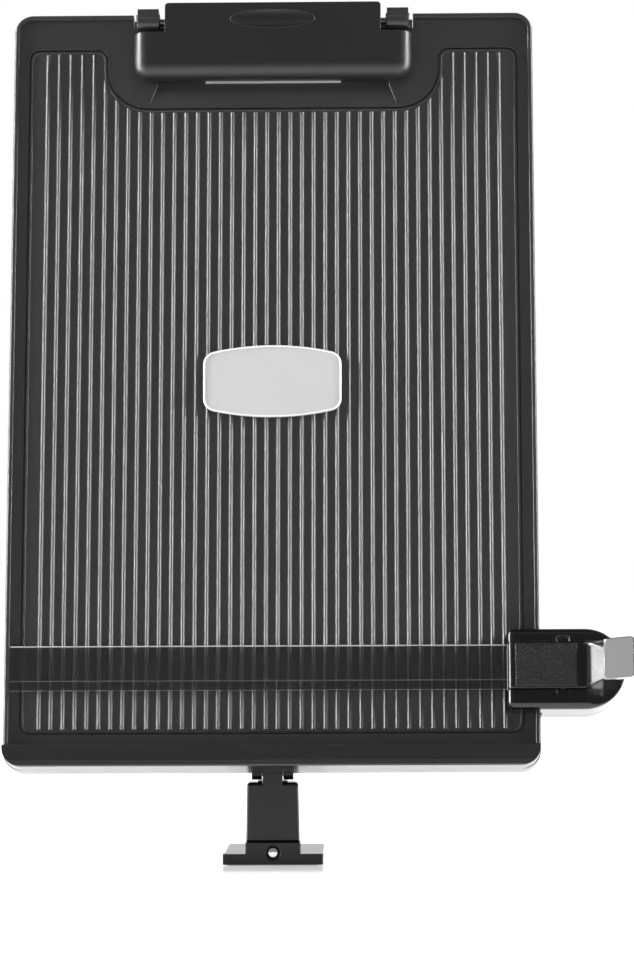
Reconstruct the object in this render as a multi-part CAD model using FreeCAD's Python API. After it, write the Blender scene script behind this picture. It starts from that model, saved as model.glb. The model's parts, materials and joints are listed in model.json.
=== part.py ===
import FreeCAD, Part
import math
import os

from FreeCAD import Vector

# A copy holder: a ribbed board leaning back on a short arm and a flat foot, with a sprung
# clip at the top, a paper ledge at the bottom and a clear line guide carried by a slider
# that runs on the board's right edge.
#
# The board and all it carries are modelled upright, with x to the right, y to the back and
# z up the board. Its front surface is y = 0 and its lower edge is z = 0. It is then leaned
# back about the hinge. The stand is modelled where it stands, on z = 0.

# Board
board_width = 224.5
board_height = 332.0
board_depth = 9.0
board_corner = 8.0
front_wall = 2.8
side_wall = 2.2
cover_step = 1.2
cover_thickness = 2.0
bead_width = 1.9
bead_height = 1.2
bead_round = 1.15
lean = 13.4
half_width = board_width / 2

cover_screw_inset = 16.0
cover_screw_radius = 1.15
cover_screw_length = 5.0
cover_screw_margin = (24.0, 34.0)
boss_radius = 3.4
pilot_radius = 1.2
cover_line = (14.0, 17.0)
cover_line_depth = 0.6

# Ribbed panel
panel_half_width = half_width - 7.25
panel_bottom = 15.6
panel_top = board_height - 16.3
panel_thickness = 1.4
panel_sink = 0.2
panel_groove = 0.6
panel_corner = 4.0
notch_half_width = 72.0
notch_floor = board_height - 43.0
notch_sweep = 18.0
rib_pitch = 5.0
rib_count = 40
rib_base = 2.0
rib_crest = 0.5
rib_height = 0.65
rib_margin = 1.6

# Ledge
ledge_reach = 10.6
ledge_height = 9.4
ledge_lip = 3.0
ledge_floor = 3.0
ledge_end = 3.0
ledge_inset = 0.3
ledge_step = 0.5

# Label plate
label_half_width = 29.45
label_half_height = 15.8
label_corner = 5.6
label_bulge_radius = 115.0
label_height = 167.0
label_thickness = 0.6

# Clip
clip_half_width = 60.1
clip_bottom = board_height - 30.5
clip_shoulder = board_height - 10.7
clip_front = 9.5
clip_gap = 0.4
clip_wall = 1.8
clip_round = 6.2
thumb_half_width = 46.7
thumb_top = board_height + 2.3
thumb_thickness = 2.5
dish_half_length = 18.2
dish_height = 8.4
dish_depth = 1.1
dish_centre = board_height - 5.0
clip_pin_radius = 1.5
clip_pin_height = board_height - 5.0
clip_pin_forward = 4.6
lug_centre = 54.0
lug_width = 9.3
lug_radius = 4.2
lug_top = board_height - 0.25
clip_notch_half_width = 60.6
clip_notch_floor = board_height - 6.5
clip_seat_height = 3.8
clip_tongue_half = 40.0
clip_tongue_foot = board_height - 18.0
outer_knuckle = 36.0
inner_knuckle = (2.0, 10.0)
knuckle_radius = 3.3
grip_half_width = 29.2
grip_drop = 0.65
recess_depth = 1.0
recess_foot = board_height - 41.5
recess_full = board_height - 31.5
recess_half_width = 54.0
recess_narrowing = 4.0
spring_wire = 0.6
spring_clearance = 0.15
spring_turns = 2
spring_pitch = 1.05
spring_centre = 26.0
spring_leg = 6.0
spring_heel = 4.2
spring_heel_turn = 40.0

# Line guide and slider
guide_left = 2.05 - half_width
guide_bottom = 33.3
guide_height = 19.0
guide_thickness = 0.8
guide_standoff = 1.4
guide_end = half_width - 8.65
guide_corner = 1.0
slider_left = half_width - 13.95
slider_right = half_width + 35.25
slider_bottom = 23.4
slider_height = 34.1
slider_front_y = 11.5
slider_split = 4.5
slider_back = 13.2
slider_wall = 2.0
slider_round = 2.9
slider_gap = 0.4
slider_floor = 1.7
channel_depth = 3.3
lever_height = 19.2
lever_rise = 18.0
lever_nose = 2.6
pin_recess = (5.0, 2.4, 0.8)
lever_gap = 0.3
lever_proud = 1.2
lever_pivot_x = half_width + 9.25
lever_pivot_depth = 9.4
lever_pin_radius = 1.0
lever_right = half_width + 18.75
lever_lift = 1.0
lever_relief = 0.9
lever_boss = 2.2
lever_pin_grip = 3.0
pad_left = half_width - 10.65
pad_right = half_width + 15.15
pad_thickness = 0.8
pad_margin = 0.6
tail_thickness = 1.8
tail_bend_x = half_width + 25.75
tail_bend_rise = 12.4
tail_tip_x = half_width + 37.75
tail_tip_rise = 18.2
tail_foot_half = 9.2
tail_waist_half = 7.9
tail_end_half = 8.6
tail_corner = 2.4
spring_leaf = 0.3
spring_leaf_height = 8.0
shoe_inset = 6.65
shoe_width = 3.8
shoe_height = 10.0
slider_screw_x = (half_width + 5.75, half_width + 26.75)
slider_screw_radius = 1.1
slider_screw_length = 14.0
slider_post = 2.6
tail_slope_depth = 4.5

# Hinge and stand
hinge_back = 17.0
hinge_up = 5.0
hinge_height = 42.0
hinge_bolt_radius = 2.0
ear_radius = 6.4
ear_width = 4.2
tongue_width = 8.3
tongue_radius = 5.2
washer_thickness = 0.35
bracket_plate = 2.0
bracket_width = 42.0
bracket_height = 34.0
bracket_rounds = (4.0, 6.0)
bracket_screw_x = 16.0
bracket_screw_low = 7.0
bracket_screw_rise = 22.0
bracket_low = 2.0
bracket_screw_length = 8.0
web_height = 26.0
bolt_head_radius = 3.6
bolt_head_height = 2.4
bolt_slot = 1.0
nut_radius = 4.04
nut_height = 3.0
washer_radius = 4.8
arm_top_width = 21.5
arm_bottom_width = 22.5
arm_thickness = 9.4
arm_shoulder = 34.8
arm_corner = 1.5
neck_width = 12.4
neck_rise = 0.6
foot_width = 41.6
foot_depth = 53.0
foot_thickness = 4.7
foot_corner = 3.0
foot_lift = 0.4
bar_width = 42.2
bar_depth = 6.0
bar_height = 4.9
socket_width = 23.2
socket_depth = 11.6
socket_top = 9.7
spigot_width = 15.6
spigot_thickness = 5.6
spigot_length = 7.0
fit_gap = 0.2
foot_screw_height = 5.4
foot_screw_head = 2.7
foot_screw_recess = 3.25
foot_screw_seat = 1.5
foot_screw_rise = 1.5
foot_screw_radius = 1.5
pad_inset = 2.0
foot_pad_thickness = 1.0

# Clearances
running_gap = 0.05
seat_gap = 0.02
slot_gap = 0.3

cover_front = board_depth - cover_thickness
slider_top = slider_bottom + slider_height
channel_floor = -slider_front_y + channel_depth
lever_front = -slider_front_y - lever_proud
lever_back = channel_floor - lever_lift
lever_middle = slider_bottom + lever_rise
lever_low = lever_middle - lever_height / 2
lever_high = lever_middle + lever_height / 2
ear_inside = tongue_width / 2 + washer_thickness + seat_gap
ear_outside = ear_inside + ear_width
slider_middle = slider_bottom + slider_height / 2
shoe_left = half_width - shoe_inset
guide_front = guide_standoff + guide_thickness
hinge_y = -foot_depth / 2 + socket_depth / 2 + fit_gap


def outline(corners, level=0.0):
    """Closed wire in the board's plane through (x, z, corner radius) at y = level."""
    edges = []
    starts = []
    ends = []
    count = len(corners)
    for i in range(count):
        x, z, radius = corners[i]
        here = Vector(x, level, z)
        before = Vector(corners[i - 1][0], level, corners[i - 1][1])
        after = Vector(corners[(i + 1) % count][0], level, corners[(i + 1) % count][1])
        if radius <= 0:
            starts.append(here)
            ends.append(here)
            continue
        inward = (before - here).normalize()
        onward = (after - here).normalize()
        half = inward.getAngle(onward) / 2
        reach = radius / math.tan(half)
        start = here + inward * reach
        end = here + onward * reach
        centre = here + (inward + onward).normalize() * (radius / math.sin(half))
        middle = centre + (here - centre).normalize() * radius
        edges.append((i, Part.Arc(start, middle, end).toShape()))
        starts.append(start)
        ends.append(end)
    arcs = dict(edges)
    joined = []
    for i in range(count):
        if i in arcs:
            joined.append(arcs[i])
        following = starts[(i + 1) % count]
        if (following - ends[i]).Length > 1e-6:
            joined.append(Part.LineSegment(ends[i], following).toShape())
    return Part.Wire(joined)


def plate(corners, front, back):
    """Solid of a board-plane outline between two depths."""
    return Part.Face(outline(corners, front)).extrude(Vector(0, back - front, 0))


def bar(points, left, right):
    """Solid of a (y, z) section run from left to right along x."""
    path = [Vector(left, y, z) for y, z in points]
    path.append(path[0])
    return Part.Face(Part.makePolygon(path)).extrude(Vector(right - left, 0, 0))


def upright(points, low, high):
    """Solid of an (x, y) section run up from low to high."""
    path = [Vector(x, y, low) for x, y in points]
    path.append(path[0])
    return Part.Face(Part.makePolygon(path)).extrude(Vector(0, 0, high - low))


def box(x0, x1, y0, y1, z0, z1):
    return Part.makeBox(x1 - x0, y1 - y0, z1 - z0, Vector(x0, y0, z0))


def rod(radius, start, end):
    line = Vector(*end) - Vector(*start)
    return Part.makeCylinder(radius, line.Length, Vector(*start), line)


def span(side, near, far):
    """The range from near to far, on the right (side 1) or mirrored on the left (side -1)."""
    return sorted((side * near, side * far))


def clip_rod(radius, left, right):
    """Cylinder along the clip pin's axis."""
    forward = -clip_pin_forward
    return rod(radius, (left, forward, clip_pin_height), (right, forward, clip_pin_height))


def lever_rod(radius, low, high):
    """Cylinder along the lever pin's axis."""
    return rod(radius, (lever_pivot_x, -lever_pivot_depth, low), (lever_pivot_x, -lever_pivot_depth, high))


def hinge_rod(radius, left, right):
    """Cylinder along the tilt hinge's axis, in the board's place."""
    return rod(radius, (left, hinge_back, hinge_up), (right, hinge_back, hinge_up))


def edges_where(shape, test):
    return [edge for edge in shape.Edges if test(edge.BoundBox)]


def rounded(shape, radius, test):
    chosen = edges_where(shape, test)
    return shape.makeFillet(radius, chosen)


def board_corners(inset):
    """The board's rectangle, drawn in by inset all round."""
    side = half_width - inset
    radius = max(board_corner - inset, 0.5)
    return [
        (-side, inset, radius),
        (side, inset, radius),
        (side, board_height - inset, radius),
        (-side, board_height - inset, radius),
    ]


def panel_corners():
    """The ribbed panel's outline, cut away below the clip in two large sweeps."""
    side = panel_half_width
    cut = notch_half_width
    return [
        (-side, panel_bottom, panel_corner),
        (side, panel_bottom, panel_corner),
        (side, panel_top, panel_corner),
        (cut, panel_top, panel_corner),
        (cut, notch_floor, notch_sweep),
        (-cut, notch_floor, notch_sweep),
        (-cut, panel_top, panel_corner),
        (-side, panel_top, panel_corner),
    ]


def offset_plate(corners, offset, front, back):
    face = Part.Face(outline(corners, front)).makeOffset2D(offset)
    return face.extrude(Vector(0, back - front, 0))


def front_frame():
    frame = plate(board_corners(0), -bead_height, board_depth)
    rim = edges_where(frame, lambda b: b.YMax < -bead_height + 0.01 and b.ZMax > board_corner)
    frame = frame.makeFillet(bead_round, rim)
    frame = frame.cut(plate(board_corners(bead_width), -bead_height - 1, 0))
    frame = frame.cut(box(-half_width, half_width, -bead_height - 1, 0, -1, ledge_height))
    hollow = side_wall + cover_step
    frame = frame.cut(plate(board_corners(hollow), front_wall, board_depth))
    frame = frame.cut(plate(board_corners(side_wall), cover_front, board_depth + 1))
    frame = frame.cut(offset_plate(panel_corners(), panel_groove, 0, panel_thickness + panel_sink))
    slope = bar(
        [
            (-2, recess_foot),
            (0, recess_foot),
            (recess_depth, recess_full),
            (recess_depth, board_height + 1),
            (-2, board_height + 1),
        ],
        -recess_half_width,
        recess_half_width,
    )
    inner = recess_half_width - recess_narrowing
    ends = plate(
        [
            (-recess_half_width, recess_foot - 1, 0),
            (recess_half_width, recess_foot - 1, 0),
            (inner, recess_full, 0),
            (inner, board_height + 2, 0),
            (-inner, board_height + 2, 0),
            (-inner, recess_full, 0),
        ],
        -3,
        3,
    )
    frame = frame.cut(slope.common(ends))
    frame = frame.cut(clip_notch())
    for x, z in cover_screw_places():
        frame = frame.fuse(rod(boss_radius, (x, front_wall - 0.5, z), (x, cover_front, z)))
    for x, z in cover_screw_places():
        frame = frame.cut(rod(pilot_radius, (x, front_wall + 0.6, z), (x, cover_front + 1, z)))
    return frame.removeSplitter()


def clip_notch():
    """The bite in the board's top edge that the clip's bracket fills."""
    half = clip_notch_half_width
    return box(-half, half, -3, board_depth + 1, clip_notch_floor, board_height + 1)


def cover_screw_places():
    across = half_width - cover_screw_inset
    low, drop = cover_screw_margin
    heights = (low, board_height / 2, board_height - drop)
    return [(side * across, z) for side in (-1, 1) for z in heights]


def ribbed_panel():
    front = panel_sink
    panel = plate(panel_corners(), front, front + panel_thickness)
    first = -rib_pitch * (rib_count - 1) / 2
    ribs = []
    for i in range(rib_count):
        x = first + i * rib_pitch
        section = [
            (x - rib_base / 2, front + 0.1),
            (x - rib_crest / 2, front - rib_height),
            (x + rib_crest / 2, front - rib_height),
            (x + rib_base / 2, front + 0.1),
        ]
        ribs.append(upright(section, panel_bottom - 1, panel_top + 1))
    comb = Part.makeCompound(ribs)
    field = offset_plate(panel_corners(), -rib_margin, front - 2, front + 2)
    comb = comb.common(field)
    return panel.fuse(comb.Solids).removeSplitter()


def back_cover():
    cover = plate(board_corners(side_wall + fit_gap), cover_front, board_depth)
    cover = cover.cut(clip_notch())
    field = plate(board_corners(cover_line[0]), board_depth - cover_line_depth, board_depth + 1)
    middle = plate(board_corners(cover_line[1]), board_depth - cover_line_depth, board_depth + 1)
    cover = cover.cut(field.cut(middle))
    for x, z in cover_screw_places():
        cover = cover.cut(rod(1.8, (x, cover_front - 1, z), (x, board_depth + 1, z)))
        cover = cover.cut(rod(3.3, (x, board_depth - 1, z), (x, board_depth + 1, z)))
    for x, z in bracket_screw_places():
        cover = cover.fuse(rod(boss_radius, (x, front_wall + fit_gap, z), (x, cover_front + 0.5, z)))
    for x, z in bracket_screw_places():
        cover = cover.cut(rod(pilot_radius, (x, front_wall + 1, z), (x, board_depth + 1, z)))
    return cover.removeSplitter()


def screw(radius, head_radius, head_height, length):
    """Pan-head screw along +y from the head's crown at y = 0 into -y."""
    section = [
        Vector(0, 0, 0),
        Vector(head_radius * 0.6, 0, 0),
        Vector(head_radius, -head_height * 0.5, 0),
        Vector(head_radius, -head_height, 0),
        Vector(radius, -head_height, 0),
        Vector(radius, -length + radius, 0),
        Vector(0, -length, 0),
        Vector(0, 0, 0),
    ]
    body = Part.Face(Part.makePolygon(section)).revolve(Vector(0, 0, 0), Vector(0, 1, 0), 360)
    slot = box(-head_radius * 0.55, head_radius * 0.55, -head_height * 0.5, 1, -0.25, 0.25)
    cross = box(-0.25, 0.25, -head_height * 0.5, 1, -head_radius * 0.55, head_radius * 0.55)
    return body.cut(slot.fuse(cross))


def screws_at(places, model, crown):
    made = []
    for x, z in places:
        one = model.copy()
        one.translate(Vector(x, crown, z))
        made.append(one)
    return Part.makeCompound(made)


def cover_screws():
    model = screw(cover_screw_radius, 2.9, 0.95, cover_screw_length)
    return screws_at(cover_screw_places(), model, board_depth - 0.05)


def paper_ledge():
    lower = 1.1
    face = -ledge_reach + ledge_step
    section = [
        (0, 0),
        (-ledge_reach + 0.6, 0),
        (-ledge_reach, 0.6),
        (-ledge_reach, lower),
        (face, 2.6),
        (face, ledge_height - 0.9),
        (face + 0.9, ledge_height),
        (0, ledge_height),
    ]
    half = half_width - ledge_inset
    ledge = bar(section, -half, half)
    ends = [
        (-half, 0, board_corner),
        (half, 0, board_corner),
        (half, ledge_height, 0),
        (-half, ledge_height, 0),
    ]
    ledge = ledge.common(plate(ends, -ledge_reach - 1, 1))
    trough = half_width - ledge_end
    slot = [
        (-trough, ledge_floor, board_corner - ledge_floor),
        (trough, ledge_floor, board_corner - ledge_floor),
        (trough, ledge_height + 1, 0),
        (-trough, ledge_height + 1, 0),
    ]
    return ledge.cut(plate(slot, face + ledge_lip, 1)).removeSplitter()


def label_plate():
    """Barrel outline: straight sides, round corners and gently bowed top and bottom."""
    crest = panel_sink - rib_height
    side = label_half_width
    corner = label_corner
    bulge = label_bulge_radius
    turn = math.asin((side - corner) / (bulge - corner))
    straight = label_half_height - bulge + (bulge - corner) * math.cos(turn)
    centre = label_half_height - bulge
    back = crest
    front = crest - label_thickness

    def at(x, z):
        return Vector(x, front, label_height + z)

    edges = []
    for up in (1, -1):
        left = at(-bulge * math.sin(turn), up * (centre + bulge * math.cos(turn)))
        right = at(bulge * math.sin(turn), up * (centre + bulge * math.cos(turn)))
        edges.append(Part.Arc(left, at(0, up * label_half_height), right).toShape())
        for out in (1, -1):
            half = (math.pi / 2 + turn) / 2
            start = at(out * side, up * straight)
            across = side - corner + corner * math.sin(half)
            middle = at(out * across, up * (straight + corner * math.cos(half)))
            end = right if out > 0 else left
            edges.append(Part.Arc(start, middle, end).toShape())
    for out in (1, -1):
        edges.append(Part.LineSegment(at(out * side, -straight), at(out * side, straight)).toShape())
    face = Part.Face(Part.Wire(Part.__sortEdges__(edges)))
    return face.extrude(Vector(0, back - front, 0))


def clip_shell(inset, back):
    """The clip's body: a box with rolled lower and end edges, drawn in by inset."""
    front = -clip_front + inset
    low = clip_bottom + inset
    high = clip_shoulder - inset
    half = clip_half_width - inset
    roll = clip_round - inset * 0.8
    shell = box(-half, half, front, back, low, high)
    shell = rounded(shell, roll + 0.4, lambda b: b.XLength < 0.01 and b.ZLength < 0.01 and b.ZMax < low + 1)
    return rounded(shell, roll, lambda b: b.YMax < front + 0.01 and b.ZMin < high - 0.1)


def finger_dish():
    """Shallow bowl pressed into the thumb plate: the side of a wide barrel."""
    front = -clip_front
    end = dish_half_length
    crown = (dish_height / 2) ** 2 / (2 * dish_depth) + dish_depth / 2
    sweep = end**2 / (2 * dish_depth) + dish_depth / 2
    axis_y = front - crown + dish_depth
    end_y = axis_y + crown - (sweep - math.sqrt(sweep**2 - end**2))
    arc = Part.Arc(
        Vector(-end, end_y, dish_centre),
        Vector(0, axis_y + crown, dish_centre),
        Vector(end, end_y, dish_centre),
    )
    sides = Part.makePolygon(
        [
            Vector(end, end_y, dish_centre),
            Vector(end, axis_y, dish_centre),
            Vector(-end, axis_y, dish_centre),
            Vector(-end, end_y, dish_centre),
        ]
    )
    face = Part.Face(Part.Wire([arc.toShape()] + sides.Edges))
    return face.revolve(Vector(0, axis_y, dish_centre), Vector(1, 0, 0), 360)


def clip_flap():
    front = -clip_front
    body = clip_shell(0, -clip_gap).cut(clip_shell(clip_wall, 1))
    thumb = plate(
        [
            (-thumb_half_width, clip_shoulder - 4, 0),
            (thumb_half_width, clip_shoulder - 4, 0),
            (thumb_half_width, thumb_top, 1.6),
            (-thumb_half_width, thumb_top, 1.6),
        ],
        front,
        front + thumb_thickness,
    )
    body = body.fuse(thumb)
    for side in (-1, 1):
        for near, far in ((outer_knuckle, thumb_half_width), inner_knuckle):
            left, right = span(side, near, far)
            knuckle = clip_rod(knuckle_radius, left, right)
            web = box(left, right, front + 1, -clip_pin_forward, clip_shoulder - 2, clip_pin_height + 2.5)
            body = body.fuse(knuckle.fuse(web))
    body = body.cut(finger_dish())
    body = body.cut(clip_rod(clip_pin_radius + running_gap, -board_width, board_width))
    for side in (-1, 1):
        left, right = span(side, lug_centre - lug_width / 2 - 0.7, clip_half_width + 1)
        body = body.cut(clip_rod(lug_radius + slot_gap, left, right))
    return body.removeSplitter()


def clip_bracket():
    """Seat in the board's notch with two lugs that hook forward over the pin."""
    across = clip_notch_half_width - fit_gap
    seat_top = clip_notch_floor + clip_seat_height
    piece = box(-across, across, 0, board_depth, clip_notch_floor, seat_top)
    tongue = box(
        -clip_tongue_half,
        clip_tongue_half,
        front_wall + slot_gap,
        cover_front - slot_gap,
        clip_tongue_foot,
        clip_notch_floor,
    )
    piece = piece.fuse(tongue)
    forward = -clip_pin_forward - lug_radius
    for side in (-1, 1):
        x0 = side * lug_centre - lug_width / 2
        x1 = x0 + lug_width
        knuckle = clip_rod(lug_radius, x0, x1)
        hook = box(x0, x1, forward, board_depth - 1.5, clip_pin_height + 1, lug_top)
        collar = box(x0 - 0.5, x1 + 0.5, forward + 0.3, 0.2, clip_pin_height - 1, seat_top)
        piece = piece.fuse([knuckle, hook, collar])
    piece = piece.cut(clip_rod(clip_pin_radius + seat_gap, -board_width, board_width))
    return piece.removeSplitter()


def clip_pin():
    end = lug_centre + lug_width / 2 - 0.5
    pin = clip_rod(clip_pin_radius, -end, end)
    return pin.makeChamfer(0.3, edges_where(pin, lambda b: b.XLength < 0.01))


def tangent_arc(start, corner, end):
    """Arc from start to end that touches both legs of the corner between them."""
    inward = (start - corner).normalize()
    onward = (end - corner).normalize()
    half = inward.getAngle(onward) / 2
    radius = (start - corner).Length * math.tan(half)
    towards = (inward + onward).normalize()
    middle = corner + towards * (radius / math.sin(half) - radius)
    return Part.Arc(start, middle, end).toShape()


def biarc(start, start_way, end, end_way):
    """Two arcs that join two points with the given directions."""
    across = end - start
    ways = start_way + end_way
    bend = 2 * (1 - start_way.dot(end_way))
    reach = (math.sqrt(across.dot(ways) ** 2 + bend * across.dot(across)) - across.dot(ways)) / bend
    first = start + start_way * reach
    second = end - end_way * reach
    joint = (first + second) / 2
    return [tangent_arc(start, first, joint), tangent_arc(joint, second, end)]


def clip_spring(middle):
    """Torsion spring: one wire with a leg up the thumb plate, open turns and a leg on the board."""
    radius = clip_pin_radius + spring_clearance + spring_wire / 2
    quarters = 4 * spring_turns + 2
    last = math.radians(90 * quarters - spring_heel_turn)
    begin = middle - spring_pitch * spring_turns / 2

    def place(turn):
        x = begin + spring_pitch * turn / (2 * math.pi)
        y = -clip_pin_forward - radius * math.cos(turn)
        return Vector(x, y, clip_pin_height - radius * math.sin(turn))

    def way(turn):
        rise = spring_pitch / (2 * math.pi)
        return Vector(rise, radius * math.sin(turn), -radius * math.cos(turn)).normalize()

    turns = [math.radians(90 * i) for i in range(quarters)] + [last]
    top = place(0) - way(0) * spring_leg
    heel = place(last) + way(last) * spring_heel
    edges = [Part.LineSegment(top, place(0)).toShape()]
    for before, after in zip(turns, turns[1:]):
        edges += biarc(place(before), way(before), place(after), way(after))
    edges.append(Part.LineSegment(place(last), heel).toShape())
    circle = Part.Wire(Part.makeCircle(spring_wire / 2, top, way(0)))
    return Part.Wire(edges).makePipeShell([circle], True, False)


def clip_springs():
    gap = spring_pitch - spring_wire
    print("clip spring: least gap between turns", round(gap, 3), "mm")
    return Part.makeCompound([clip_spring(side * spring_centre) for side in (-1, 1)])


def clip_grip():
    return box(
        -grip_half_width,
        grip_half_width,
        -clip_gap,
        recess_depth - slot_gap,
        clip_bottom - grip_drop,
        clip_bottom + clip_wall,
    )


def line_guide():
    corners = [
        (guide_left, guide_bottom, guide_corner),
        (guide_end, guide_bottom, 0),
        (guide_end, guide_bottom + guide_height, 0),
        (guide_left, guide_bottom + guide_height, guide_corner),
    ]
    return plate(corners, -guide_front, -guide_standoff)


def slider_outline():
    round_end = slider_height / 2 - 0.01
    return [
        (slider_left, slider_bottom, slider_round),
        (slider_right, slider_bottom, round_end),
        (slider_right, slider_top, round_end),
        (slider_left, slider_top, slider_round),
    ]


def inset_slider(inset):
    low = slider_bottom + inset
    high = slider_top - inset
    round_end = (high - low) / 2 - 0.01
    right = slider_right - inset
    left = slider_left + inset
    return [(left, low, 0.8), (right, low, round_end), (right, high, round_end), (left, high, 0.8)]


def slider_front():
    """Front shell: it hooks over the board's bead and carries the lever in a channel."""
    front = -slider_front_y
    back = slider_split + 1
    edge = half_width + slider_gap
    low = slider_bottom - 1
    high = slider_top + 1
    floor_back = channel_floor + slider_floor
    shell = plate(slider_outline(), front, slider_split)
    shell = rounded(shell, slider_round, lambda b: b.YMax < front + 0.01)
    beside = box(edge + slider_wall, slider_right, floor_back, back, low, high)
    shell = shell.cut(plate(inset_slider(slider_wall), floor_back, back).common(beside))
    shell = shell.cut(box(slider_left - 1, edge, -slider_gap, back, low, high))
    bead_edge = half_width - bead_width - slider_gap
    shell = shell.cut(box(bead_edge, edge, -bead_height - slider_gap, back, low, high))
    lever_slot = (lever_low - lever_gap, lever_high + lever_gap)
    shell = shell.cut(box(slider_left - 1, slider_right + 1, front - 1, channel_floor, *lever_slot))
    slope = [
        (lever_right + 1, front - 1),
        (slider_right + 1, front - 1),
        (slider_right + 1, front + tail_slope_depth),
        (lever_right + 1, front),
    ]
    shell = shell.cut(upright(slope, low, high))
    guide_low = guide_bottom - 0.1
    guide_high = guide_bottom + guide_height + 0.1
    guide_depths = (-guide_front - 0.1, -guide_standoff + 0.1)
    shell = shell.cut(box(slider_left - 1, guide_end + 0.1, *guide_depths, guide_low, guide_high))
    shoe_half = shoe_height / 2 + lever_gap + 0.2
    shoe_low = lever_middle - shoe_half
    shoe_high = lever_middle + shoe_half
    shell = shell.cut(box(shoe_left - 1.5, shoe_left + shoe_width + 0.5, front, 0.5, shoe_low, shoe_high))
    recess_width, recess_length, recess_deep = pin_recess
    left = lever_pivot_x - recess_width / 2
    for end, away in ((lever_low - lever_gap, -1), (lever_high + lever_gap, 1)):
        low_end, high_end = span(away, away * end - 1, away * end + recess_length)
        recess = box(left, left + recess_width, front - 1, front + recess_deep, low_end, high_end)
        pin_low, pin_high = span(away, away * end - 1, away * end + lever_pin_grip + 0.4)
        shell = shell.cut([recess, lever_rod(lever_pin_radius + seat_gap, pin_low, pin_high)])
    for x in slider_screw_x:
        post = rod(slider_post, (x, floor_back - 0.5, slider_middle), (x, slider_split, slider_middle))
        shell = shell.fuse(post)
    for x in slider_screw_x:
        bore = slider_screw_radius + 0.05
        shell = shell.cut(rod(bore, (x, floor_back + 0.6, slider_middle), (x, back, slider_middle)))
    return shell.removeSplitter()


def slider_back_shell():
    shell = plate(slider_outline(), slider_split, slider_back)
    shell = rounded(shell, slider_round, lambda b: b.YMin > slider_back - 0.01)
    edge = half_width + slider_gap
    low = slider_bottom - 1
    high = slider_top + 1
    hollow = plate(inset_slider(slider_wall), slider_split - 1, slider_back - slider_wall)
    hollow = hollow.common(box(edge + slider_wall, slider_right, 0, slider_back, low, high))
    shell = shell.cut(hollow)
    shell = shell.cut(box(slider_left - 1, edge, slider_split - 1, board_depth + slider_gap, low, high))
    for x in slider_screw_x:
        post = rod(slider_post, (x, slider_split, slider_middle), (x, slider_back - 0.5, slider_middle))
        shell = shell.fuse(post)
    behind = slider_back + 1
    bore = slider_screw_radius + 0.1
    for x in slider_screw_x:
        shell = shell.cut(rod(bore, (x, slider_split - 1, slider_middle), (x, behind, slider_middle)))
        shell = shell.cut(rod(2.2, (x, slider_back - 1.4, slider_middle), (x, behind, slider_middle)))
    return shell.removeSplitter()


def slider_screws():
    model = screw(slider_screw_radius, 2.0, 1.3, slider_screw_length)
    return screws_at([(x, slider_middle) for x in slider_screw_x], model, slider_back - 0.05)


def release_lever():
    """Rocker on the lever pin, with a bed for the pad and a relief under its right end."""
    left = slider_left + 0.2
    heel = lever_pivot_x + lever_boss + 0.4
    section = [
        (left, lever_front),
        (lever_right, lever_front),
        (lever_right, lever_back - lever_relief),
        (heel, lever_back - lever_relief),
        (heel - 0.4, lever_back),
        (left, lever_back),
    ]
    lever = upright(section, lever_low, lever_high)
    lever = rounded(lever, lever_nose, lambda b: b.XMax < left + 0.01 and b.YMax < lever_front + 0.01)
    boss_room = box(left, lever_right, lever_front, lever_back + 0.4, lever_low, lever_high)
    lever = lever.fuse(lever_rod(lever_boss, lever_low, lever_high).common(boss_room))
    bed_low = lever_low + pad_margin
    bed_high = lever_high - pad_margin
    bed_floor = lever_front + pad_thickness
    lever = lever.cut(box(pad_left, pad_right, lever_front - 1, bed_floor, bed_low, bed_high))
    lever = lever.cut(lever_rod(lever_pin_radius + running_gap, lever_low - 1, lever_high + 1))
    return lever.removeSplitter()


def lever_pad():
    pad = box(
        pad_left + seat_gap,
        pad_right - seat_gap,
        lever_front - 0.1,
        lever_front + pad_thickness,
        lever_low + pad_margin + seat_gap,
        lever_high - pad_margin - seat_gap,
    )
    return rounded(pad, 0.4, lambda b: b.YMax < lever_front - 0.09)


def lever_tail():
    """Cranked finger tail: a foot on the lever, a steep rise and a flatter end."""
    foot = lever_right + seat_gap
    bend = lever_front - tail_bend_rise
    tip = lever_front - tail_tip_rise
    section = [
        (foot, lever_front + 0.2),
        (tail_bend_x, bend),
        (tail_tip_x, tip),
        (tail_tip_x + 0.6, tip + tail_thickness),
        (tail_bend_x + 0.9, bend + tail_thickness),
        (foot + 2.0, lever_front + 1.6),
        (foot + 2.0, lever_back - lever_relief),
        (foot, lever_back - lever_relief),
    ]
    tail = upright(section, lever_middle - tail_foot_half, lever_middle + tail_foot_half)
    side = [
        (foot, tail_foot_half, 0),
        (tail_bend_x, tail_waist_half, 0),
        (tail_bend_x + 0.6, tail_end_half, 0.5),
        (tail_tip_x + 0.6, tail_end_half, tail_corner),
    ]
    upper = [(x, lever_middle + half, radius) for x, half, radius in side]
    lower = [(x, lever_middle - half, radius) for x, half, radius in side]
    return tail.common(plate(lower + upper[::-1], tip - 1, channel_floor))


def lever_pin():
    grip = lever_gap + lever_pin_grip
    return lever_rod(lever_pin_radius, lever_low - grip, lever_high + grip)


def brake_shoe():
    low = lever_middle - shoe_height / 2
    high = lever_middle + shoe_height / 2
    return box(shoe_left, shoe_left + shoe_width, lever_back, -slot_gap, low, high)


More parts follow.
